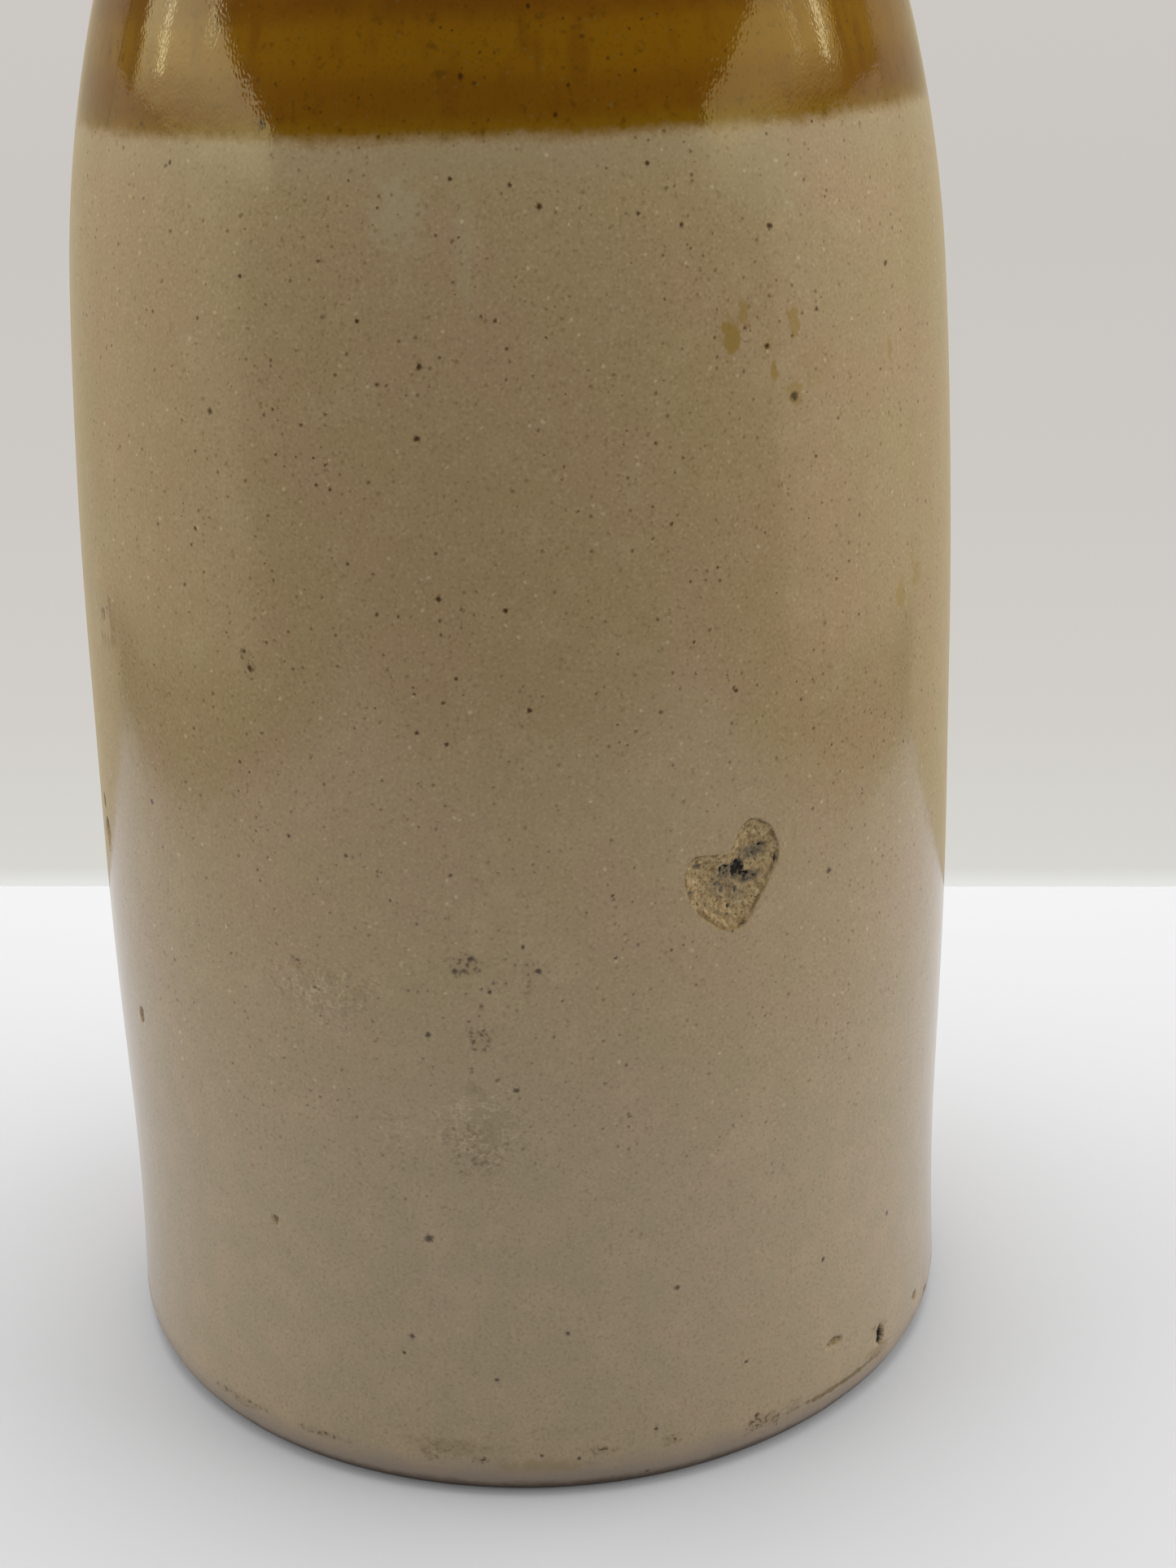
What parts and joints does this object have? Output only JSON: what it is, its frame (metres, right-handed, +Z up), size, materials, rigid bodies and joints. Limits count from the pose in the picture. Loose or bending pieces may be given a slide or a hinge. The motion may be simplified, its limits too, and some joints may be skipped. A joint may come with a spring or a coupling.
{
  "type": "stoneware stout bottle",
  "caption": "Stoneware stout bottle with a straight body, a long sloping shoulder, a ring lip and a cork bore, in two-tone glaze with one chip.",
  "frame": {"origin": "on the bottle's axis, at the level of the foot ring that it stands on", "axes": "+Z up along the bottle's axis towards the mouth, -Y towards the side with the chip"},
  "size_m": [0.0812, 0.0812, 0.2082],
  "materials": {
    "cream_glaze": "glossy salt-and-pepper cream glaze with an ochre glaze over the shoulder, neck and lip"
  },
  "bodies": {
    "root": {"bottle": "cream_glaze"}
  },
  "joints": []
}
